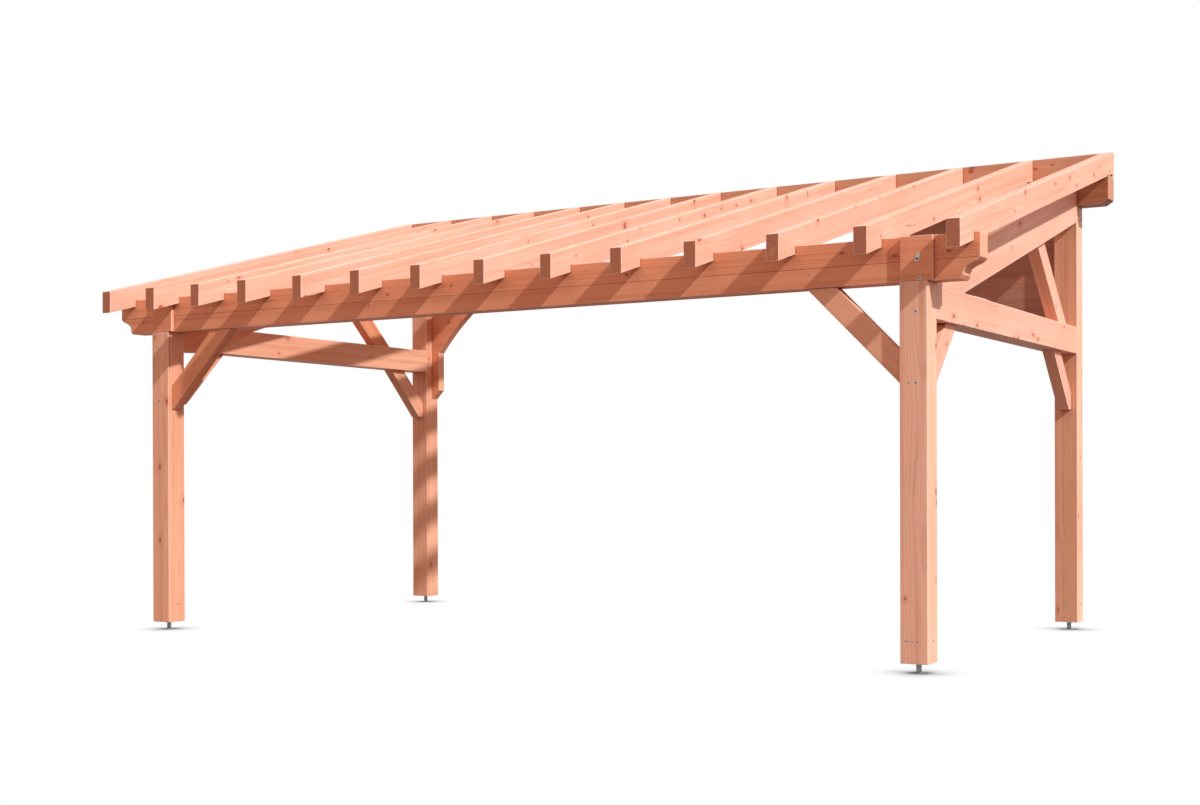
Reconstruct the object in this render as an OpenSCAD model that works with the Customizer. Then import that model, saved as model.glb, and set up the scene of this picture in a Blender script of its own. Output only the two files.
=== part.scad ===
// Lean-to carport frame in sawn softwood: four posts on threaded feet, a shaped front
// beam, a higher rear beam, two braced side frames and fourteen notched rafters.
// X runs along the front, Y from front to back, Z up. The origin is on the ground at
// the middle of the frame's outline.

/* [Posts] */
// Width of the square posts
post_w = 150; // [120:5:180]
// Distance over the outer faces of the posts, along the front
post_span = 5560; // [3600:10:6600]
// Distance over the outer faces of the posts, front to back
post_depth = 3100; // [2400:10:3800]
// Height of the post heads under the front beam, above the ground
front_height = 2045; // [1850:5:2400]
// Height of the adjustable feet between ground and post
foot_height = 52; // [30:1:100]

/* [Beams] */
// Height of the front beam
beam_h = 236; // [200:1:300]
// How far the front beam's face stands back from the face of the posts
beam_recess = 28; // [20:1:60]
// Overhang of the front beam past the left posts
overhang_left = 325; // [280:5:420]
// Overhang of the front beam past the right posts
overhang_right = 275; // [260:5:420]
// Height of the underside of the rear beam above the ground
rear_height = 2850; // [2800:5:3000]
// Overhang of the rear beam past the posts
rear_overhang = 210; // [150:5:260]

/* [Rafters] */
// Number of rafters
rafter_count = 14; // [8:1:16]
// Thickness of a rafter
rafter_t = 75; // [50:1:100]
// Depth of a rafter, square to its slope
rafter_d = 142; // [120:1:160]
// Slope of the roof in degrees
roof_pitch = 15.1; // [14:0.1:16]
// How far the rafter tails hang out in front of the posts
tail = 202; // [120:1:300]
// Width of the bays at the left end, as a part of the mean bay
bay_left = 0.895; // [0.8:0.005:1.1]
// Width of the bays at the right end, as a part of the mean bay
bay_right = 1.073; // [0.9:0.005:1.2]
// How far the first rafter stands outside the left posts
rafter_left = 265; // [200:5:290]
// How far the last rafter stands outside the right posts
rafter_right = 245; // [200:5:270]
// How far the rafters' backs move in toward the middle from their tails
toe_in = 85; // [0:5:100]

/* [Side frames] */
// Height of the ties
tie_h = 178; // [140:1:200]
// Underside of the left tie above the ground
tie_left_z = 1930; // [1900:1:1960]
// Underside of the right tie above the ground
tie_right_z = 1857; // [1800:1:1860]
// Thickness of the braces and struts
brace_t = 75; // [50:1:90]
// Depth of the braces and struts
brace_d = 122; // [90:1:130]
// Reach of the front braces along the post and the beam
front_reach = 540; // [400:5:700]
// Reach of the side braces along the post and the tie
side_reach = 435; // [350:5:600]

/* [Hidden] */
$fn = 48;
slope = tan(roof_pitch);
gap = 0.3;
front_len = overhang_left + post_span + overhang_right;
rafter_v = rafter_d / cos(roof_pitch);
beam_t = post_w - beam_recess;
beam_top = front_height + beam_h;
notch = 44;
// Underside of a rafter above the front face of the posts
rafter_z = beam_top - notch - slope * beam_recess;
rear_y = post_depth - post_w;
rafter_end = post_depth - 8;
rear_top = rafter_z + slope * rear_y + 12;
fascia_t = 45;
fascia_h = rafter_v + 20;
bays = rafter_count - 1;
bay = (post_span + rafter_left + rafter_right - rafter_t) / bays;
end_bays = floor(bays / 4);
bay_middle = bay * (bays - end_bays * (bay_left + bay_right)) / (bays - 2 * end_bays);
rafter_run = rafter_end + tail;
left_x = 0;
right_x = post_span - post_w;
mid_y = (rafter_end + fascia_t - tail) / 2;
rod_r = 15;
brace_w = brace_d * 1.41;
plate_r = 32;
plate_t = 5;
nut_r = 20;
nut_h = 8;
cheek_w = 176;
cheek_h = beam_h - 2;
side_z = 1996;
side_slope = tan(16.6);
side_v = 238;
heel_y = 470;
knee_y = 820;
lap_t = 40;
lap_h_front = 55;
lap_h_back = 30;
strut_foot_left = rear_y - 450;
strut_foot_right = rear_y - 105;
strut_w = 194;
strut_lean = 1.08;
bracket_reach = 1050;
bracket_low = 1710;
bracket_nose = 70;
bracket_t = post_w / 2;

// Puts the corner of the left front post's outline at its place about the origin
module placed() {
    translate([-front_len / 2 + overhang_left, -mid_y, 0]) children();
}

// Extrudes an outline drawn in Y and Z through a thickness along X
module side_plate(x, t) {
    translate([x, 0, 0]) rotate([90, 0, 90]) linear_extrude(t) children();
}

// Extrudes an outline drawn in X and Z through a thickness along Y
module front_plate(y, t) {
    translate([0, y + t, 0]) rotate([90, 0, 0]) linear_extrude(t) children();
}

function principal_low(y) = side_z + side_slope * (y - heel_y);

// A threaded rod with a nut under the post, standing on a small round foot
module foot(x, y) {
    color("dimgray") placed() translate([x + post_w / 2, y + post_w / 2, 0]) {
        cylinder(r = plate_r, h = plate_t);
        cylinder(r = rod_r, h = foot_height - gap);
        translate([0, 0, foot_height - nut_h - gap]) cylinder(r = nut_r, h = nut_h, $fn = 6);
    }
}

module front_post(x) {
    color("burlywood") placed() translate([x, 0, foot_height])
        cube([post_w, post_w, front_height - foot_height - gap]);
}

// Outline of the tongue that laps a rear post's outer face, c larger for its rebate
module lap_outline(c) {
    polygon([
        [rear_y - 1, principal_low(rear_y - 1) - c],
        [post_depth + c, principal_low(post_depth + c) - c],
        [post_depth + c, principal_low(post_depth) + lap_h_back + c],
        [rear_y - 1, principal_low(rear_y) + lap_h_front + c]]);
}

// A rear post is rebated on its outer face where the side frame's principal laps it
module rear_post(x, outer) {
    lap_x = outer > 0 ? x + post_w - lap_t : x - 1;
    color("burlywood") placed() difference() {
        translate([x, rear_y, foot_height]) cube([post_w, post_w, rear_height - foot_height - gap]);
        side_plate(lap_x, lap_t + 1) lap_outline(gap);
    }
}

// The beam's ends run down square, then step in with a small ogee
function beam_end(s) = [
    [0, s], [0, s * 0.45], [-s * 0.09, s * 0.37], [-s * 0.22, s * 0.32], [-s * 0.34, s * 0.25],
    [-s * 0.38, s * 0.16], [-s * 0.39, s * 0.08], [-s * 0.44, 0]];

module front_beam() {
    ends = beam_end(beam_h);
    last = len(ends) - 1;
    color("peru") placed() front_plate(beam_recess, beam_t) polygon(concat(
        [for (i = [0 : last]) [post_span + overhang_right + ends[i][0], front_height + ends[i][1]]],
        [for (i = [last : -1 : 0]) [-overhang_left - ends[i][0], front_height + ends[i][1]]]));
}

// A block on each front post's head covers the beam's face
module cheek_box(x, c) {
    translate([x + 4 - c, -c, front_height + 1 - c])
        cube([cheek_w + 2 * c, beam_recess - gap + c, cheek_h + 2 * c]);
}

module cheek(x) {
    color("peru") placed() cheek_box(x, 0);
}

module rear_beam() {
    low = -rear_overhang;
    high = post_span + rear_overhang;
    run = 45;
    rise = 30;
    color("peru") placed() front_plate(rear_y, post_w) polygon([
        [low, rear_top], [low, rear_height + rise], [low + run, rear_height],
        [high - run, rear_height], [high, rear_height + rise], [high, rear_top]]);
}

module fascia() {
    z = rafter_z + slope * rafter_end;
    low = rafter_x(0) + rafter_toe(0);
    high = rafter_x(bays) + rafter_toe(bays) + rafter_t;
    color("sienna") placed() translate([low, rafter_end + gap, z - 10])
        cube([high - low, fascia_t - gap, fascia_h - 10]);
}

// The principal is the sloping timber of a side frame, between front and rear post
module principal_left() {
    color("peru") placed() union() {
        side_plate(left_x, post_w) polygon([
            [post_w + gap, tie_left_z - 15],
            [post_w + side_reach - brace_w - 5, tie_left_z],
            [heel_y, tie_left_z], [knee_y, principal_low(knee_y)],
            [rear_y - gap, principal_low(rear_y)],
            [rear_y - gap, principal_low(rear_y) + side_v],
            [post_w + gap, principal_low(post_w) + side_v]]);
        principal_lap(left_x);
    }
}

module principal_right() {
    top = tie_right_z + tie_h + gap;
    foot_y = heel_y + (top - side_z) / side_slope;
    color("peru") placed() union() {
        side_plate(right_x, post_w) polygon([
            [post_w + gap, top], [foot_y, top], [rear_y - gap, principal_low(rear_y)],
            [rear_y - gap, principal_low(rear_y) + side_v],
            [post_w + gap, principal_low(post_w) + side_v]]);
        principal_lap(right_x + post_w - lap_t + gap);
    }
}

// The low part of the principal runs on across the outer face of the rear post
module principal_lap(x) {
    side_plate(x, lap_t - gap) lap_outline(0);
}

module tie_left() {
    z = tie_left_z;
    top = z + tie_h;
    top_y = knee_y + (top - principal_low(knee_y)) / side_slope;
    color("peru") placed() side_plate(left_x, post_w) polygon([
        [heel_y + 2, z], [rear_y - gap, z], [rear_y - gap, top],
        [max(top_y, knee_y) + 2, top], [knee_y + 2, principal_low(knee_y) - gap]]);
}

module tie_right() {
    color("peru") placed() translate([right_x, post_w + gap, tie_right_z])
        cube([post_w, rear_y - post_w - 2 * gap, tie_h]);
}

// Height at which an edge leaning forward from the tie meets the principal
function strut_rise(y, top) = (principal_low(y) - top) / (1 + side_slope * strut_lean);

// A strut stands on the tie and leans forward up to the principal
module strut(x, foot_y, top) {
    a = foot_y;
    b = foot_y - strut_w;
    rise_a = strut_rise(a, top);
    rise_b = strut_rise(b, top);
    color("peru") placed() side_plate(x + (post_w - brace_t) / 2, brace_t) polygon([
        [b, top + gap], [a, top + gap],
        [a - rise_a * strut_lean, top + rise_a - gap],
        [b - rise_b * strut_lean, top + rise_b - gap]]);
}

// Outline of a 45 degree brace: the corner is at the origin, its legs run along +X and -Y
module brace_outline(reach, nose) {
    polygon([
        [gap, nose - reach], [nose, nose - reach], [reach, -gap],
        [reach - brace_w, -gap], [gap, brace_w - reach]]);
}

module brace_front(x, dir) {
    color("peru") placed() front_plate((post_w - brace_t) / 2, brace_t)
        translate([x, front_height]) mirror([dir < 0 ? 1 : 0, 0]) brace_outline(front_reach, 12);
}

module knee(x, y, z, dir) {
    color("peru") placed() side_plate(x + (post_w - brace_t) / 2, brace_t)
        translate([y, z]) mirror([dir < 0 ? 1 : 0, 0]) brace_outline(side_reach, 60);
}

// Solid bracket in a rear corner: a straight nose down the post, then an arched underside
module bracket(x, dir, radius, spring_z) {
    n = 10;
    start = 53;
    end = asin(max(0, sin(start) - (bracket_reach - bracket_nose) / radius));
    crown_z = spring_z + radius * (cos(end) - cos(start));
    color("peru") placed() front_plate(post_depth - bracket_t, bracket_t)
        translate([x, 0]) mirror([dir < 0 ? 1 : 0, 0]) polygon(concat(
            [[gap, rear_height - gap], [gap, bracket_low],
             [bracket_nose, bracket_low + bracket_nose]],
            [for (i = [0 : n]) let (a = start + (end - start) * i / n) [
                bracket_nose + radius * (sin(start) - sin(a)),
                spring_z + radius * (cos(a) - cos(start))]],
            [if (end == 0) [bracket_reach, crown_z]],
            [[bracket_reach, rear_height - gap]]));
}

// Left face of a rafter at its tail: narrow bays at the left end, wide ones at the right
function rafter_x(i) = -rafter_left + bay * bay_left * min(i, end_bays)
    + bay_middle * max(0, min(i, bays - end_bays) - end_bays)
    + bay * bay_right * max(0, i - bays + end_bays);

// Sideways move of a rafter's back: inward over both ends, turning over within a few bays
function rafter_toe(i) =
    toe_in * (i == bays ? 0.5 : 1) * max(-1, min(1, (0.39 - i / bays) * 8.5));

module rafter_board() {
    low = rafter_z - slope * tail;
    extra = 30;
    rotate([90, 0, 90]) linear_extrude(rafter_t) polygon([
        [-extra, low - slope * extra],
        [rafter_run + extra, low + slope * (rafter_run + extra)],
        [rafter_run + extra, low + slope * (rafter_run + extra) + rafter_v],
        [-extra, low - slope * extra + rafter_v]]);
}

module rafter(i) {
    wide = front_len + 2000;
    turn = atan(rafter_toe(i) / rafter_run);
    color("burlywood") placed() difference() {
        translate([rafter_x(i), -tail, 0]) rotate([0, 0, -turn]) rafter_board();
        translate([-1000, -tail - 100, 0]) cube([wide, 100, 5000]);
        translate([-1000, rafter_end, 0]) cube([wide, 100, 5000]);
        translate([-1000, beam_recess - gap, 0])
            cube([wide, beam_t + 2 * gap, beam_top + gap]);
        translate([-1000, rear_y - gap, 0]) cube([wide, post_w + 50, rear_top + gap]);
        cheek_box(left_x, gap);
        cheek_box(right_x, gap);
    }
}

front_post(left_x);  // post_front_left
front_post(right_x);  // post_front_right
rear_post(left_x, -1);  // post_rear_left
rear_post(right_x, 1);  // post_rear_right
foot(left_x, 0);  // foot_front_left
foot(right_x, 0);  // foot_front_right
foot(left_x, rear_y);  // foot_rear_left
foot(right_x, rear_y);  // foot_rear_right
front_beam();
cheek(left_x);  // cheek_left
cheek(right_x);  // cheek_right
rear_beam();
fascia();
principal_left();
principal_right();
tie_left();
tie_right();
strut(left_x, strut_foot_left, tie_left_z + tie_h);  // strut_left
strut(right_x, strut_foot_right, tie_right_z + tie_h);  // strut_right
brace_front(post_w, 1);  // brace_front_left
brace_front(right_x, -1);  // brace_front_right
knee(left_x, post_w, tie_left_z, 1);  // knee_front_left
knee(right_x, post_w, tie_right_z, 1);  // knee_front_right
knee(left_x, rear_y, tie_left_z, -1);  // knee_rear_left
knee(right_x, rear_y, tie_right_z, -1);  // knee_rear_right
bracket(post_w, 1, 1900, 2092);  // bracket_left
bracket(right_x, -1, 1000, 1940);  // bracket_right
rafter(0);  // rafter_01
rafter(1);  // rafter_02
rafter(2);  // rafter_03
rafter(3);  // rafter_04
rafter(4);  // rafter_05
rafter(5);  // rafter_06
rafter(6);  // rafter_07
rafter(7);  // rafter_08
rafter(8);  // rafter_09
rafter(9);  // rafter_10
rafter(10);  // rafter_11
rafter(11);  // rafter_12
rafter(12);  // rafter_13
rafter(13);  // rafter_14
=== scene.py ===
"""The looks of the timber carport: stained softwood, threaded steel feet, screws and bolts.

Everything is in metres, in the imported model's frame: X along the front, Y from the low
front to the high rear, Z up, origin on the ground.
"""

import math
import random

import bmesh
import bpy
from mathutils import Matrix, Vector


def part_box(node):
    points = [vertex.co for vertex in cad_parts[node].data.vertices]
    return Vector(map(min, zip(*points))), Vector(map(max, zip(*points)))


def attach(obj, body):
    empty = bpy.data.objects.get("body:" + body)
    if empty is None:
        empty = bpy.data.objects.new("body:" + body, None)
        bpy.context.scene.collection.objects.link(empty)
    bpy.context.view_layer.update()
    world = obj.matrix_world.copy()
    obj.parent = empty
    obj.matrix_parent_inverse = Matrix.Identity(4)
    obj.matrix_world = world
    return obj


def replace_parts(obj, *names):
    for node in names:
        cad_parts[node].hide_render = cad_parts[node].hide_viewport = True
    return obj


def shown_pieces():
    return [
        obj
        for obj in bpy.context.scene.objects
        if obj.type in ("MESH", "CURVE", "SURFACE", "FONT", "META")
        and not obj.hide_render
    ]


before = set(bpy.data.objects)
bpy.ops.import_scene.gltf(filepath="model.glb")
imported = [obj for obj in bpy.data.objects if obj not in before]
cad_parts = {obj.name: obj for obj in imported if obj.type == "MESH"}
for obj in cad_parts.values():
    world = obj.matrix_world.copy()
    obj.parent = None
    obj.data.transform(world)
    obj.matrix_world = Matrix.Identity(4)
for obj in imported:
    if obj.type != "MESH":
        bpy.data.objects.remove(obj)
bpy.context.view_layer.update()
BODY = "root"

# ---------------------------------------------------------------- camera

LENS = 49.497
SENSOR = 36.0
CAMERA_AT = (5.711, -9.674, 1.006)
CAMERA_YAW = 0.5379
CAMERA_PITCH = -0.0030
CAMERA_ROLL = -0.0031
# How far the optical axis lies left of and below the picture's middle, in picture widths
CAMERA_SHIFT = (0.0024, 0.0703)
CAMERA_SEES = 200


def make_camera():
    data = bpy.data.cameras.new("camera")
    data.sensor_width = SENSOR
    data.lens = LENS
    data.shift_x, data.shift_y = CAMERA_SHIFT
    data.clip_end = CAMERA_SEES
    camera = bpy.data.objects.new("camera", data)
    bpy.context.collection.objects.link(camera)
    turn = Matrix.Rotation(CAMERA_YAW, 4, "Z")
    tip = Matrix.Rotation(math.pi / 2 + CAMERA_PITCH, 4, "X")
    roll = Matrix.Rotation(CAMERA_ROLL, 4, "Z")
    camera.matrix_world = Matrix.Translation(CAMERA_AT) @ turn @ tip @ roll
    bpy.context.scene.camera = camera


# ---------------------------------------------------------------- material nodes


class Graph:
    """Short calls for building a node material."""

    def __init__(self, name):
        self.material = bpy.data.materials.new(name)
        self.material.use_nodes = True
        self.tree = self.material.node_tree
        self.tree.nodes.clear()

    def node(self, kind, settings=None, **inputs):
        """A new node. settings are its own properties, inputs are its sockets by name."""
        made = self.tree.nodes.new(kind)
        for key, value in (settings or {}).items():
            setattr(made, key, value)
        for key, value in inputs.items():
            self.put(made.inputs[key.replace("_", " ")], value)
        return made

    def put(self, socket, value):
        if isinstance(value, bpy.types.NodeSocket):
            self.tree.links.new(value, socket)
        else:
            socket.default_value = value

    def attribute(self, name, output="Fac"):
        return self.node("ShaderNodeAttribute", {"attribute_name": name}).outputs[output]

    def math(self, operation, *values, clamp=False):
        made = self.node("ShaderNodeMath", {"operation": operation, "use_clamp": clamp})
        for socket, value in zip(made.inputs, values):
            self.put(socket, value)
        return made.outputs[0]

    def smooth(self, value, low, high, to_low=0.0, to_high=1.0):
        made = self.node("ShaderNodeMapRange", {"interpolation_type": "SMOOTHSTEP"})
        for socket, item in zip(made.inputs, (value, low, high, to_low, to_high)):
            self.put(socket, item)
        return made.outputs[0]

    def noise(self, place, cells, seed, detail=2.0, roughness=0.5):
        """Noise with its cells per metre along X, Y and Z."""
        scaled = self.node("ShaderNodeVectorMath", {"operation": "MULTIPLY"})
        self.put(scaled.inputs[0], place)
        scaled.inputs[1].default_value = cells
        made = self.node(
            "ShaderNodeTexNoise", {"noise_dimensions": "4D"}, Vector=scaled.outputs[0],
            W=seed, Scale=1.0, Detail=detail, Roughness=roughness)
        return made.outputs[0]

    def mix(self, factor, a, b, blend="MIX"):
        """Mixes two colours. A plain one is three numbers."""
        made = self.node("ShaderNodeMix", {"data_type": "RGBA", "blend_type": blend})
        self.put(made.inputs[0], factor)
        for socket, value in ((made.inputs[6], a), (made.inputs[7], b)):
            self.put(socket, (*value, 1.0) if isinstance(value, tuple) else value)
        return made.outputs[2]

    def finish(self, **inputs):
        shader = self.node("ShaderNodeBsdfPrincipled", **inputs)
        out = self.tree.nodes.new("ShaderNodeOutputMaterial")
        self.tree.links.new(shader.outputs[0], out.inputs[0])
        return self.material


# ---------------------------------------------------------------- timber material

# Stained timber, as linear colours: sapwood, heartwood, the dark summer wood and a sawn end
TIMBER_TONES = {
    "rafter": ((0.90, 0.52, 0.385), (0.84, 0.45, 0.320), (0.68, 0.31, 0.200),
               (0.38, 0.120, 0.058)),
    "post": ((0.87, 0.49, 0.340), (0.82, 0.43, 0.290), (0.64, 0.28, 0.170),
             (0.60, 0.25, 0.140)),
    # A darker copy of the post tone: painted shade for the rear right post's front. Its +X side
    # is painted paler again by the sunlit-side table
    "rear_post": ((0.76, 0.385, 0.240), (0.72, 0.340, 0.205), (0.56, 0.220, 0.120),
                  (0.50, 0.19, 0.100)),
    "shaded_post": ((0.84, 0.43, 0.270), (0.79, 0.37, 0.225), (0.62, 0.25, 0.140),
                    (0.50, 0.19, 0.100)),
    "beam": ((0.82, 0.335, 0.180), (0.75, 0.280, 0.142), (0.55, 0.180, 0.083),
             (0.80, 0.42, 0.270)),
    # Painted shade: a darker board tone for the fascia, which lies in shadow between the
    # rafters
    "board_in_painted_shade": ((0.66, 0.34, 0.205), (0.60, 0.275, 0.162), (0.43, 0.172, 0.092),
                   (0.80, 0.42, 0.270)),
    # Painted shade: a much darker board tone for the rear beam, whose front lies in the
    # rafters' shadow; its sawn end stays paler
    "board_in_deep_painted_shade": ((0.40, 0.148, 0.071), (0.35, 0.117, 0.055), (0.25, 0.073, 0.032),
                   (0.60, 0.29, 0.170)),
    # Painted shade: a dark grey-brown tone for the right bracket, which lies deep in shade
    # behind the gable
    "bracket_in_painted_shade": ((0.46, 0.215, 0.140), (0.38, 0.165, 0.102), (0.27, 0.110, 0.065),
             (0.30, 0.13, 0.080)),
}
KNOT_CORE = (0.36, 0.100, 0.050)
KNOT_HALO = (0.66, 0.25, 0.140)
CRACK = (0.22, 0.070, 0.034)
# Painted light: how much paler a post's face that looks along +X, towards the sun, is painted,
# and from what facing to what facing this grows
SUNLIT_SIDE_PALER = {"post": (1.0, 1.12, 1.14), "rear_post": (1.14, 1.45, 1.60)}
SUNLIT_SIDE_FACING = (0.3, 0.8)

# Cells per metre of each noise, along the grain and across it both ways
SWAY_CELLS = (0.8, 3.0, 3.0)
FIBRE_CELLS = (5.0, 300.0, 300.0)
STREAK_CELLS = (0.45, 30.0, 30.0)
CLOUD_CELLS = (1.1, 3.5, 3.5)
VEIN_CELLS = (0.55, 11.0, 11.0)
CRACKED_CELLS = (1.6, 9.0, 9.0)
ARRIS_HIGHLIGHT_CELLS = (9.0, 9.0, 9.0)

RINGS_PER_METRE = 105.0
RING_SWAY = 0.07
RING_BEND = 0.006
# Summer wood deepens over the first stretch of a ring's width and ends over the second
SUMMER_GROWS = (0.35, 0.85)
SUMMER_ENDS = (0.88, 1.0)
# Half the width of a crack in the vein noise, and the noise that says where cracks are
CRACK_WIDTH = (0.0008, 0.0030)
CRACKED = (0.60, 0.68)

# Side branches: spacing along the length, and a number that sets their places
BRANCHES = ((0.31, 3.0), (0.57, 57.0))
BRANCH_LEAN = 0.25
KNOT_SQUASH = 0.5
KNOT_R = 0.0042
KNOT_R_SPREAD = 0.0070
KNOT_CORE_FADE = (0.75, 1.15)
KNOT_HALO_FADE = (1.0, 4.2)
PITH_CLEAR = 0.01

# How strongly each mark covers the wood's colour
STREAK_COVER = 0.55
SUMMER_COVER = 0.34
FIBRE_COVER = 0.28
END_COVER = 0.94
END_SPRING, END_SUMMER = 1.06, 0.86
# The arrises' painted highlight: how much of it shows, and how far it pales the light tone
ARRIS_HIGHLIGHT_COVER = (0.30, 0.85)
ARRIS_HIGHLIGHT_PALER = 0.30
HALO_COVER = 0.42
CORE_COVER = 0.85
CRACK_COVER = 0.60
# Painted shade in the joints: how strongly it darkens
JOINT_SHADE_COVER = 0.76
GROOVE_COVER = 0.8
# How close a surface must be to paint shade into a joint
JOINT_SHADE_REACH = 0.014

# Surface height of each mark, as shares of the bump's depth
SUMMER_HEIGHT, FIBRE_HEIGHT, CRACK_DEPTH, KNOT_DEPTH = 0.35, 0.5, 2.5, 0.4
BUMP_STRENGTH = 0.55
BUMP_DEPTH = 0.0012
ROUGHNESS, FIBRE_ROUGHNESS, END_ROUGHNESS = 0.52, 0.22, 0.15
SPECULAR = 0.35


def branch(graph, axes, spacing, seed):
    """Knots of side branches that grow out from the pith, one in each stretch of the length.
    Gives how deep a point lies in a knot's core and in the wood that bends round it."""
    x, y, z = axes
    run = graph.math("MULTIPLY", x, 1.0 / spacing)
    cell = graph.math("FLOOR", run)
    chance = graph.node("ShaderNodeTexWhiteNoise", {"noise_dimensions": "1D"},
                        W=graph.math("ADD", cell, seed))
    place, turn, size = graph.node(
        "ShaderNodeSeparateColor", Color=chance.outputs["Color"]).outputs
    along = graph.math("SUBTRACT", graph.math("SUBTRACT", run, cell), place)
    along = graph.math("MULTIPLY", along, spacing)
    angle = graph.math("MULTIPLY", turn, 2 * math.pi)
    cos, sin = graph.math("COSINE", angle), graph.math("SINE", angle)
    out = graph.math("ADD", graph.math("MULTIPLY", y, cos), graph.math("MULTIPLY", z, sin))
    side = graph.math(
        "SUBTRACT", graph.math("MULTIPLY", z, cos), graph.math("MULTIPLY", y, sin))
    along = graph.math("SUBTRACT", along, graph.math("MULTIPLY", out, BRANCH_LEAN))
    reach = graph.math("SQRT", graph.math(
        "ADD", graph.math("POWER", graph.math("MULTIPLY", along, KNOT_SQUASH), 2.0),
        graph.math("POWER", side, 2.0)))
    radius = graph.math("MULTIPLY_ADD", size, KNOT_R_SPREAD, KNOT_R)
    depth = graph.math("DIVIDE", reach, radius)
    outward = graph.smooth(out, 0.0, PITH_CLEAR)
    core = graph.math("MULTIPLY", graph.smooth(depth, *KNOT_CORE_FADE, 1.0, 0.0), outward)
    halo = graph.math("MULTIPLY", graph.smooth(depth, *KNOT_HALO_FADE, 1.0, 0.0), outward)
    return core, halo


def summer_wood(graph, place, axes, halo):
    """How dark the summer wood is: rings round the pith that wander and bend round knots."""
    wandered = []
    for axis, seed in ((axes[1], 1.0), (axes[2], 7.0)):
        sway = graph.noise(place, SWAY_CELLS, seed)
        offset = graph.math("MULTIPLY_ADD", sway, RING_SWAY, -RING_SWAY / 2)
        wandered.append(graph.math("POWER", graph.math("ADD", axis, offset), 2.0))
    radius = graph.math("SQRT", graph.math("ADD", *wandered))
    radius = graph.math("ADD", radius, graph.math("MULTIPLY", halo, RING_BEND))
    growth = graph.math("FRACT", graph.math("MULTIPLY", radius, RINGS_PER_METRE))
    return graph.math("MULTIPLY", graph.smooth(growth, *SUMMER_GROWS),
                      graph.smooth(growth, *SUMMER_ENDS, 1.0, 0.0))


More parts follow.
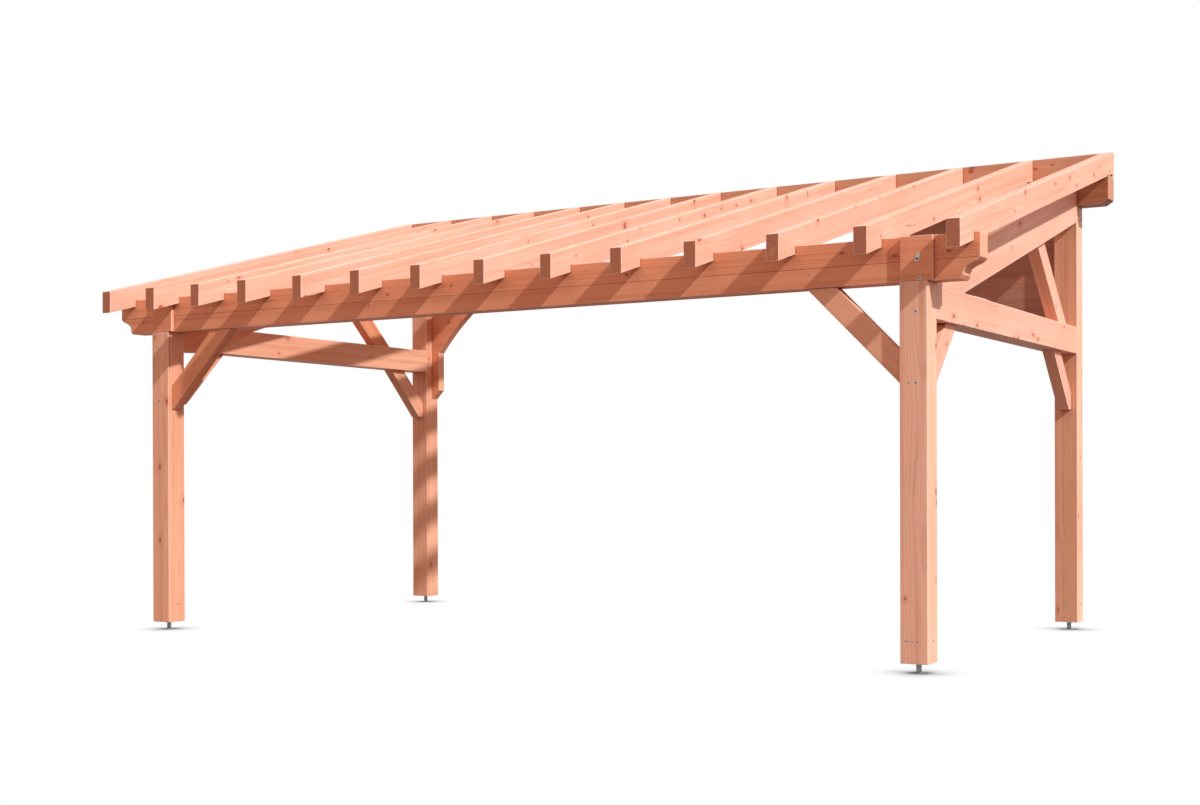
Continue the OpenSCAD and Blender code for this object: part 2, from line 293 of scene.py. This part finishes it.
def timber_material(tone):
    """Sawn and stained softwood. The attribute grain holds each point's place in the log:
    X along the grain, Y and Z across it from the pith."""
    light, mid, late, sawn_end = TIMBER_TONES[tone]
    graph = Graph("timber_" + tone)
    place = graph.attribute("grain", "Vector")
    axes = tuple(graph.node("ShaderNodeSeparateXYZ", Vector=place).outputs)

    def cover(colour, amount, share, over):
        return graph.mix(graph.math("MULTIPLY", amount, share), colour, over)

    cores, halos = zip(*(branch(graph, axes, spacing, seed) for spacing, seed in BRANCHES))
    core = graph.math("MAXIMUM", *cores)
    halo = graph.math("MAXIMUM", *halos)
    summer = summer_wood(graph, place, axes, halo)
    fibre = graph.noise(place, FIBRE_CELLS, 2.0, 3.0, 0.6)
    streak = graph.noise(place, STREAK_CELLS, 3.0, 3.0, 0.55)
    cloud = graph.noise(place, CLOUD_CELLS, 4.0)
    vein = graph.noise(place, VEIN_CELLS, 5.0, 1.0)
    cracked = graph.noise(place, CRACKED_CELLS, 6.0, 1.0)
    split_line = graph.math("ABSOLUTE", graph.math("SUBTRACT", vein, 0.5))
    crack = graph.math("MULTIPLY", graph.smooth(split_line, *CRACK_WIDTH, 1.0, 0.0),
                       graph.smooth(cracked, *CRACKED))

    colour = graph.mix(graph.smooth(cloud, 0.35, 0.68), light, mid)
    colour = cover(colour, graph.smooth(streak, 0.42, 0.72), STREAK_COVER, late)
    colour = cover(colour, summer, SUMMER_COVER, late)
    colour = cover(colour, graph.smooth(fibre, 0.5, 0.75), FIBRE_COVER, late)

    # Painted light: faces that look along +X, towards the sun, are painted paler
    if tone in SUNLIT_SIDE_PALER:
        normal = graph.node("ShaderNodeNewGeometry").outputs["Normal"]
        facing_x = graph.node("ShaderNodeSeparateXYZ", Vector=normal).outputs[0]
        painted_sunlit_side = graph.mix(1.0, colour, SUNLIT_SIDE_PALER[tone], "MULTIPLY")
        colour = graph.mix(graph.smooth(facing_x, *SUNLIT_SIDE_FACING), colour, painted_sunlit_side)

    # The sawn ends get their own tone: darker on the rafters and posts, where they take up more
    # stain, and paler on the beams and boards
    end = graph.attribute("sawn_end")
    rings = graph.mix(summer, tuple(END_SPRING * c for c in sawn_end),
                      tuple(END_SUMMER * c for c in sawn_end))
    colour = cover(colour, end, END_COVER, rings)

    # Painted highlight: the rounded arrises are painted paler, unevenly along their length
    highlight_breakup = graph.noise(place, ARRIS_HIGHLIGHT_CELLS, 8.0, 3.0, 0.6)
    arris_highlight = graph.math("MULTIPLY", graph.attribute("arris"),
                      graph.smooth(highlight_breakup, 0.30, 0.62, *ARRIS_HIGHLIGHT_COVER))
    colour = graph.mix(arris_highlight, colour, tuple(c + ARRIS_HIGHLIGHT_PALER * (1.0 - c) for c in light))

    colour = cover(colour, halo, HALO_COVER, KNOT_HALO)
    colour = cover(colour, core, CORE_COVER, KNOT_CORE)
    colour = cover(colour, crack, CRACK_COVER, CRACK)

    # Painted shade: the joints are darkened where the occlusion node finds surfaces close by
    # (the grime mask), and the glue line's groove is darkened too
    close = graph.node("ShaderNodeAmbientOcclusion", {"samples": 6}, Distance=JOINT_SHADE_REACH)
    grime = graph.smooth(close.outputs["AO"], 0.30, 0.85, JOINT_SHADE_COVER, 0.0)
    groove = graph.math("MULTIPLY", graph.attribute("groove"), GROOVE_COVER)
    colour = graph.mix(graph.math("MAXIMUM", grime, groove), colour, CRACK)

    height = graph.math("MULTIPLY_ADD", summer, SUMMER_HEIGHT,
                        graph.math("MULTIPLY", fibre, FIBRE_HEIGHT))
    height = graph.math("SUBTRACT", height, graph.math("MULTIPLY", crack, CRACK_DEPTH))
    height = graph.math("SUBTRACT", height, graph.math("MULTIPLY", core, KNOT_DEPTH))
    bump = graph.node("ShaderNodeBump", Strength=BUMP_STRENGTH, Distance=BUMP_DEPTH,
                      Height=height)
    rough = graph.math("MULTIPLY_ADD", fibre, FIBRE_ROUGHNESS, ROUGHNESS)
    rough = graph.math(
        "ADD", rough, graph.math("MULTIPLY", end, END_ROUGHNESS), clamp=True)
    return graph.finish(Base_Color=colour, Roughness=rough, Normal=bump.outputs[0],
                        Specular_IOR_Level=SPECULAR)


# ---------------------------------------------------------------- timber pieces

# Points of the CAD mesh nearer than this are one
MERGE = 0.0012
FLAT_ANGLE = math.radians(0.5)
SHARP_ANGLE = math.radians(25)
TOO_SMALL = 1e-5
ARRIS = 0.0030
ARRIS_SPREAD = (0.85, 1.2)
# Height of the front beam's glue line above its underside, and the groove's width
GLUE_LINE = 0.107
GROOVE_W = 0.0022
SAWN_END_FACING = 0.87
# How far the pith lies from a piece's middle, and how far along its log a piece may lie
PITH = (0.02, 0.13)
LOG = 40
GRAIN_ALONG_X = ("front_beam", "rear_beam", "fascia", "bracket", "cheek")
# The tone of each piece, by the first entry here that its name begins with
TONE_OF = {
    "rafter": "rafter",
    "post_front_right": "post",
    "post_rear_right": "rear_post",
    "post_front_left": "shaded_post",
    "post_rear_left": "shaded_post",
    "tie_right": "rafter",
    "principal_right": "rafter",
    "tie_left": "shaded_post",
    "principal_left": "beam",
    "strut_right": "rafter",
    "strut_left": "beam",
    "knee_front_right": "rafter",
    "knee_rear_right": "rafter",
    "knee": "shaded_post",
    "brace_front_right": "shaded_post",
    "brace_front_left": "beam",
    "cheek": "beam",
    "front_beam": "beam",
    "rear_beam": "board_in_deep_painted_shade",
    "fascia": "board_in_painted_shade",
    "bracket_left": "beam",
    "bracket_right": "bracket_in_painted_shade",
}


def link_piece(mesh, name, material):
    """Turns a mesh under construction into a piece on the body."""
    data = bpy.data.meshes.new(name)
    mesh.to_mesh(data)
    mesh.free()
    data.materials.append(material)
    piece = bpy.data.objects.new(name, data)
    bpy.context.collection.objects.link(piece)
    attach(piece, BODY)
    return piece


def grain_of(name, mesh):
    """Direction of the grain: level for the pieces named above, else along the longest edge."""
    if name.startswith(GRAIN_ALONG_X):
        return Vector((1, 0, 0))
    longest = max(mesh.edges, key=lambda e: e.calc_length())
    run = (longest.verts[1].co - longest.verts[0].co).normalized()
    return -run if run.z < -0.5 or run.y < -0.5 else run


def round_arrises(mesh, width):
    """Rounds the sharp edges and marks the new faces."""
    sharp = [e for e in mesh.edges if e.is_manifold and e.calc_face_angle(0) > SHARP_ANGLE]
    bmesh.ops.bevel(
        mesh, geom=sharp, offset=width, segments=2, profile=0.6, affect="EDGES",
        clamp_overlap=True, material=1)
    bmesh.ops.dissolve_degenerate(mesh, edges=mesh.edges, dist=TOO_SMALL)
    layer = mesh.faces.layers.float.new("arris")
    for face in mesh.faces:
        face[layer] = float(face.material_index)
        face.material_index = 0


def cut_groove(mesh, height):
    """Opens the glue line between the beam's two timbers, level all the way round."""
    for level in (height - GROOVE_W / 2, height + GROOVE_W / 2):
        bmesh.ops.bisect_plane(
            mesh, geom=[*mesh.verts, *mesh.edges, *mesh.faces], plane_co=(0, 0, level),
            plane_no=(0, 0, 1))
    layer = mesh.faces.layers.float.new("groove")
    strip = [f for f in mesh.faces
             if abs(f.calc_center_median().z - height) < GROOVE_W / 2]
    bmesh.ops.inset_region(mesh, faces=strip, thickness=GROOVE_W * 0.2, depth=-GROOVE_W)
    for face in strip:
        face[layer] = 1.0


def lay_grain(mesh, run, chance):
    """Gives each point its place in a log whose pith runs beside the piece or through it,
    and marks the faces sawn across the grain."""
    across = Vector((0, 0, 1)) if abs(run.z) < 0.9 else Vector((0, 1, 0))
    side = across.cross(run).normalized()
    axes = Matrix((run, side, run.cross(side).normalized())).transposed().to_4x4()
    centre = sum((v.co for v in mesh.verts), Vector()) / len(mesh.verts)
    bearing = chance.uniform(0, 2 * math.pi)
    pith = chance.uniform(*PITH)
    offset = Vector((
        chance.uniform(-LOG, LOG), pith * math.cos(bearing), pith * math.sin(bearing)))
    to_log = (Matrix.Translation(centre) @ axes @ Matrix.Translation(offset)).inverted()
    grain = mesh.verts.layers.float_vector.new("grain")
    for vert in mesh.verts:
        vert[grain] = to_log @ vert.co
    mesh.normal_update()
    sawn = mesh.faces.layers.float.new("sawn_end")
    for face in mesh.faces:
        face[sawn] = float(abs(face.normal.dot(run)) > SAWN_END_FACING)


def timber(name, node, chance):
    """A timber in place of its CAD node: the same faces, with rounded arrises painted paler as
    a highlight, and its own grain."""
    mesh = bmesh.new()
    mesh.from_mesh(node.data)
    bmesh.ops.remove_doubles(mesh, verts=mesh.verts, dist=MERGE)
    bmesh.ops.dissolve_limit(
        mesh, angle_limit=FLAT_ANGLE, verts=mesh.verts, edges=mesh.edges)
    run = grain_of(name, mesh)
    round_arrises(mesh, ARRIS * chance.uniform(*ARRIS_SPREAD))
    if name == "front_beam":
        cut_groove(mesh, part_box(name)[0][2] + GLUE_LINE)
    lay_grain(mesh, run, chance)
    tone = next(TONE_OF[start] for start in TONE_OF if name.startswith(start))
    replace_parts(link_piece(mesh, name + "_timber", MATERIALS[tone]), name)


# ---------------------------------------------------------------- steel

STEEL_SMOOTH = math.radians(35)

ROD_R = 0.015
THREAD_DEPTH = 0.0016
THREAD_PITCH = 0.003
NUT_R = 0.020
NUT_H = 0.008
# How much of a nut's radius its turned-off corners lose, and over what share of its height
NUT_CHAMFER = 0.12
WASHER_H = 0.002
FOOT_R = 0.032
FOOT_H = 0.005
FOOT_EDGE = 0.001

# The head bolt's plate: radius of its ends, half their distance, depth in and out of the wood
PLATE_R = 0.0098
PLATE_HALF = 0.0138
PLATE_DEPTH = (-0.0010, 0.0024)
PLATE_EDGE = 0.0006
BOLT_ON_PLATE = (0.0, -0.008, 0)
# Radius and height of the bolt's round head, from its rim in to its hollow
BOLT_HEAD = ((0.0064, 0.0012), (0.0064, 0.0042), (0.0055, 0.0056), (0.0036, 0.0062),
             (0.0032, 0.0052), (0.0010, 0.0050))
# Share of a screw's radius, and height, of its rim and of its socket, a low disc painted dark:
# painted shade in place of a hole
SCREW_RIM = ((0.92, -0.0004), (1.0, 0.0004), (0.90, 0.0010), (0.62, 0.0004))
SCREW_SOCKET_SHADE = ((0.60, 0.0002), (0.58, 0.0007), (0.30, 0.0006))

FRONT, RIGHT, LEFT, BACK = (0, -1, 0), (1, 0, 0), (-1, 0, 0), (0, 1, 0)
# Screws seen on a post's front: sideways from its middle, height, and the head's radius
FRONT_SCREWS = {
    "post_front_right": (
        (0.014, 1.888, 0.0080), (-0.025, 1.518, 0.0065), (0.013, 1.517, 0.0075),
        (-0.044, 0.172, 0.0050), (-0.027, 0.171, 0.0050), (-0.008, 0.169, 0.0055),
        (0.020, 0.169, 0.0035)),
    "post_front_left": (
        (-0.009, 1.929, 0.0080), (-0.011, 1.574, 0.0080), (-0.006, 0.189, 0.0060)),
    "post_rear_right": ((-0.001, 0.167, 0.0080),),
    "post_rear_left": ((0.004, 0.160, 0.0070),),
}
# Screws into the foot rods from the other sides: off the post's middle, height and radius
SIDE_SCREW = (0.008, 0.172, 0.0070)
# Nails in the front beam's face: along from its left end, up from its underside
BEAM_NAILS = ((0.480, 0.092), (5.217, 0.075), (5.217, 0.059), (5.252, 0.059),
              (4.563, 0.068))
NAIL_R = 0.0042
# Plate and screw in the right head block: right of the post's middle, up from its underside
HEAD_BOLT = (0.024, 0.121)
HEAD_BOLT_LEAN = -0.42
HEAD_SCREW = (0.035, 0.012)
HEAD_SCREW_R = 0.0085


def steel_material(name, tone, rough, grime):
    """Zinc-plated or blackened steel with brushed marks and dull patches."""
    graph = Graph(name)
    place = graph.node("ShaderNodeTexCoord").outputs["Object"]
    patch = graph.noise(place, (60.0, 60.0, 60.0), 1.0, 3.0, 0.6)
    scratch = graph.noise(place, (900.0, 900.0, 90.0), 2.0)
    colour = graph.mix(graph.smooth(patch, 0.42, 0.70), tone, grime)
    roughness = graph.math("MULTIPLY_ADD", scratch, 0.25, rough)
    roughness = graph.math(
        "ADD", roughness, graph.math("MULTIPLY", patch, 0.15), clamp=True)
    bump = graph.node("ShaderNodeBump", Strength=0.3, Distance=0.0004, Height=scratch)
    return graph.finish(Base_Color=colour, Metallic=1.0, Roughness=roughness,
                        Normal=bump.outputs[0])


def steel_piece(mesh, name, finish):
    bmesh.ops.recalc_face_normals(mesh, faces=mesh.faces)
    piece = link_piece(mesh, name, MATERIALS[finish])
    for polygon in piece.data.polygons:
        polygon.use_smooth = True
    piece.data.set_sharp_from_angle(angle=STEEL_SMOOTH)
    return piece


def loft(mesh, rings):
    """Joins rings of points with faces and closes both ends."""
    count = len(rings[0])
    for low, high in zip(rings, rings[1:]):
        for k in range(count):
            after = (k + 1) % count
            mesh.faces.new((low[k], low[after], high[after], high[k]))
    mesh.faces.new(list(reversed(rings[0])))
    mesh.faces.new(rings[-1])


def ring(mesh, place, reaches, height):
    """Points round place's Z axis, evenly turned, each at its own reach."""
    sides = len(reaches)
    points = []
    for k, reach in enumerate(reaches):
        angle = 2 * math.pi * k / sides
        points.append(mesh.verts.new(place @ Vector((
            reach * math.cos(angle), reach * math.sin(angle), height))))
    return points


def turned(mesh, profile, place, sides=32):
    """Adds a solid turned about place's Z axis. profile is (radius, height) from end to
    end."""
    loft(mesh, [ring(mesh, place, [radius] * sides, height) for radius, height in profile])


def threaded(mesh, low, high, place, sides=24, steps=8):
    """Adds the foot's rod, with a helical thread, along place's Z axis."""
    rows = round((high - low) / THREAD_PITCH * steps)
    rings = []
    for row in range(rows + 1):
        height = low + (high - low) * row / rows
        phases = [(height / THREAD_PITCH - k / sides) % 1.0 for k in range(sides)]
        rings.append(ring(
            mesh, place, [ROD_R - THREAD_DEPTH * abs(2 * p - 1) for p in phases], height))
    loft(mesh, rings)


def hexagon(mesh, low, high, place):
    """Adds the foot's nut with its corners turned off at both ends."""
    turned_off = NUT_R * (1 - NUT_CHAMFER)
    levels = ((turned_off, 0.0), (NUT_R, NUT_CHAMFER), (NUT_R, 1 - NUT_CHAMFER),
              (turned_off, 1.0))
    turned(mesh, [(radius, low + (high - low) * share) for radius, share in levels],
           place, sides=6)


def oblong(mesh, radius, half, low, high, place, steps=12):
    """Adds a plate with round ends, long along place's Y axis, with a rounded upper edge."""
    rings = []
    for inset, height in ((0, low), (0, high - PLATE_EDGE), (PLATE_EDGE, high)):
        points = []
        for sign in (1, -1):
            for k in range(steps + 1):
                angle = math.pi * k / steps
                points.append(mesh.verts.new(place @ Vector((
                    sign * (radius - inset) * math.cos(angle),
                    sign * ((radius - inset) * math.sin(angle) + half), height))))
        rings.append(points)
    loft(mesh, rings)


def steel_foot(name):
    """A foot in place of its CAD node: round plate, threaded rod, nut and washer."""
    low, high = (Vector(c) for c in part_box(name))
    middle = (low + high) / 2
    place = Matrix.Translation((middle.x, middle.y, 0))
    top = high.z
    mesh = bmesh.new()
    turned(mesh, [(FOOT_R - FOOT_EDGE, 0), (FOOT_R, FOOT_EDGE),
                  (FOOT_R, FOOT_H - 2 * FOOT_EDGE), (FOOT_R - 2 * FOOT_EDGE, FOOT_H),
                  (ROD_R * 1.25, FOOT_H), (ROD_R * 1.02, FOOT_H + 2 * FOOT_EDGE)], place)
    threaded(mesh, FOOT_H, top - NUT_H / 2, place)
    hexagon(mesh, top - NUT_H, top - WASHER_H, place)
    turned(mesh, [(NUT_R, top - WASHER_H), (NUT_R, top)], place)
    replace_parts(steel_piece(mesh, name + "_steel", "rod"), name)


def facing(point, normal):
    """Place whose Z axis points out of a face at a point."""
    turn = Vector(normal).to_track_quat("Z", "Y").to_matrix().to_4x4()
    return Matrix.Translation(point) @ turn


def bolt_plate(name, point, normal, lean):
    """The oblong washer plate of the post's head bolt, leaning, with the bolt's round
    head."""
    place = facing(point, normal) @ Matrix.Rotation(lean, 4, "Z")
    mesh = bmesh.new()
    oblong(mesh, PLATE_R, PLATE_HALF, *PLATE_DEPTH, place)
    steel_piece(mesh, name + "_washer", "zinc")
    mesh = bmesh.new()
    turned(mesh, BOLT_HEAD, place @ Matrix.Translation(BOLT_ON_PLATE), sides=24)
    steel_piece(mesh, name + "_head", "dark")


def screw(name, point, normal, radius):
    """A countersunk screw, flush with the face, whose socket is a low disc painted dark:
    painted shade in place of a hole.
    """
    place = facing(point, normal)
    mesh = bmesh.new()
    turned(mesh, [(radius * share, height) for share, height in SCREW_RIM], place, sides=24)
    rim = len(mesh.faces)
    turned(mesh, [(radius * share, height) for share, height in SCREW_SOCKET_SHADE], place,
           sides=24)
    # The socket's faces take the dark steel as painted shade
    mesh.faces.ensure_lookup_table()
    for face in mesh.faces[rim:]:
        face.material_index = 1
    steel_piece(mesh, name, "zinc").data.materials.append(MATERIALS["dark"])


def fasteners():
    """Bolts, screws and nails where they show on the posts, the head block and the beam."""
    for name, spots in FRONT_SCREWS.items():
        low, high = (Vector(c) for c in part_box(name))
        middle = (low + high) / 2
        for number, (across, height, radius) in enumerate(spots):
            screw(f"{name}_screw_{number + 1}", (middle.x + across, low.y, height), FRONT,
                  radius)
        off, height, radius = SIDE_SCREW
        screw(name + "_side_screw", (high.x, middle.y + off, height), RIGHT, radius)
        screw(name + "_outer_screw", (low.x, middle.y - off, height), LEFT, radius)
        screw(name + "_back_screw", (middle.x - off, high.y, height), BACK, radius)
    block = Vector(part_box("cheek_right")[0])
    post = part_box("post_front_right")
    middle = (post[0][0] + post[1][0]) / 2
    bolt_plate("head_bolt", (middle + HEAD_BOLT[0], block.y, block.z + HEAD_BOLT[1]),
               FRONT, HEAD_BOLT_LEAN)
    screw("head_screw", (middle + HEAD_SCREW[0], block.y, block.z + HEAD_SCREW[1]), FRONT,
          HEAD_SCREW_R)
    beam = Vector(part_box("front_beam")[0])
    for number, (along, up) in enumerate(BEAM_NAILS):
        screw(f"beam_nail_{number + 1}", (beam.x + along, beam.y, beam.z + up), FRONT,
              NAIL_R)


# ---------------------------------------------------------------- surroundings

SUN_TOWARD = (0.757, -0.246, 0.605)
SUN_TINT = (0.92, 0.98, 1.0)
SUN_POWER = 3.5
SUN_ANGLE = math.radians(1.6)
AMBIENT = (1.0, 0.78, 0.73)
AMBIENT_POWER = 0.80
FLOOR_HALF = 90
FLOOR_BOUNCE = (0.32, 0.25, 0.21)
# Contact shadow: how far it reaches, and the floor's openness and glow at its two ends
CONTACT_REACH = 0.25
CONTACT_SAMPLES = 24
CONTACT_OPEN = (0.30, 0.94)
CONTACT_GLOW = (0.12, 1.0)


def make_sun(lit):
    """The sun lights the object only, so that the floor shows no cast shadow."""
    data = bpy.data.lights.new("sun", "SUN")
    data.energy = SUN_POWER
    data.angle = SUN_ANGLE
    data.color = SUN_TINT
    sun = bpy.data.objects.new("sun", data)
    bpy.context.collection.objects.link(sun)
    sun.rotation_euler = Vector(SUN_TOWARD).to_track_quat("Z", "Y").to_euler()
    sun.light_linking.receiver_collection = lit


def by_ray(tree, lighting, shown, output):
    """Uses one shader for light on the object and the other for camera and glossy rays."""
    path = tree.nodes.new("ShaderNodeLightPath")
    seen = tree.nodes.new("ShaderNodeMath")
    seen.operation = "MAXIMUM"
    tree.links.new(path.outputs["Is Camera Ray"], seen.inputs[0])
    tree.links.new(path.outputs["Is Glossy Ray"], seen.inputs[1])
    mix = tree.nodes.new("ShaderNodeMixShader")
    out = tree.nodes.new(output)
    tree.links.new(seen.outputs[0], mix.inputs[0])
    tree.links.new(lighting.outputs[0], mix.inputs[1])
    tree.links.new(shown.outputs[0], mix.inputs[2])
    tree.links.new(mix.outputs[0], out.inputs[0])


def make_world():
    """An even warm sky for the object, and plain white where the camera sees past it."""
    world = bpy.data.worlds.new("world")
    bpy.context.scene.world = world
    world.use_nodes = True
    tree = world.node_tree
    tree.nodes.clear()
    sky = tree.nodes.new("ShaderNodeBackground")
    sky.inputs[0].default_value = (*AMBIENT, 1)
    sky.inputs[1].default_value = AMBIENT_POWER
    white = tree.nodes.new("ShaderNodeBackground")
    white.inputs[0].default_value = (1, 1, 1, 1)
    by_ray(tree, sky, white, "ShaderNodeOutputWorld")


def make_floor():
    """A white floor that shows the object's soft contact shadow and throws back warm
    light."""
    mesh = bmesh.new()
    bmesh.ops.create_grid(mesh, x_segments=1, y_segments=1, size=FLOOR_HALF)
    data = bpy.data.meshes.new("floor")
    mesh.to_mesh(data)
    mesh.free()
    floor = bpy.data.objects.new("floor", data)
    bpy.context.collection.objects.link(floor)
    material = bpy.data.materials.new("floor")
    material.use_nodes = True
    tree = material.node_tree
    tree.nodes.clear()
    near = tree.nodes.new("ShaderNodeAmbientOcclusion")
    near.samples = CONTACT_SAMPLES
    near.inputs["Distance"].default_value = CONTACT_REACH
    ramp = tree.nodes.new("ShaderNodeMapRange")
    ramp.inputs["From Min"].default_value, ramp.inputs["From Max"].default_value = CONTACT_OPEN
    ramp.inputs["To Min"].default_value, ramp.inputs["To Max"].default_value = CONTACT_GLOW
    glow = tree.nodes.new("ShaderNodeEmission")
    tree.links.new(near.outputs["AO"], ramp.inputs["Value"])
    tree.links.new(ramp.outputs["Result"], glow.inputs["Strength"])
    plain = tree.nodes.new("ShaderNodeBsdfDiffuse")
    plain.inputs[0].default_value = (*FLOOR_BOUNCE, 1)
    by_ray(tree, plain, glow, "ShaderNodeOutputMaterial")
    data.materials.append(material)


# ---------------------------------------------------------------- build

MATERIALS = {tone: timber_material(tone) for tone in TIMBER_TONES}
MATERIALS["rod"] = steel_material("steel_rod", (0.62, 0.61, 0.60), 0.28, (0.30, 0.27, 0.25))
MATERIALS["zinc"] = steel_material(
    "steel_zinc", (0.50, 0.49, 0.47), 0.34, (0.28, 0.26, 0.24))
MATERIALS["dark"] = steel_material(
    "steel_dark", (0.06, 0.045, 0.04), 0.42, (0.12, 0.08, 0.06))

make_camera()
chance = random.Random(14)
for node_name in sorted(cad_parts):
    if node_name.startswith("foot_"):
        steel_foot(node_name)
    else:
        timber(node_name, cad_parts[node_name], chance)
fasteners()

lit = bpy.data.collections.new("lit")
bpy.context.scene.collection.children.link(lit)
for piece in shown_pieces():
    lit.objects.link(piece)
make_sun(lit)
make_world()
make_floor()

bpy.context.scene.view_settings.view_transform = "Standard"
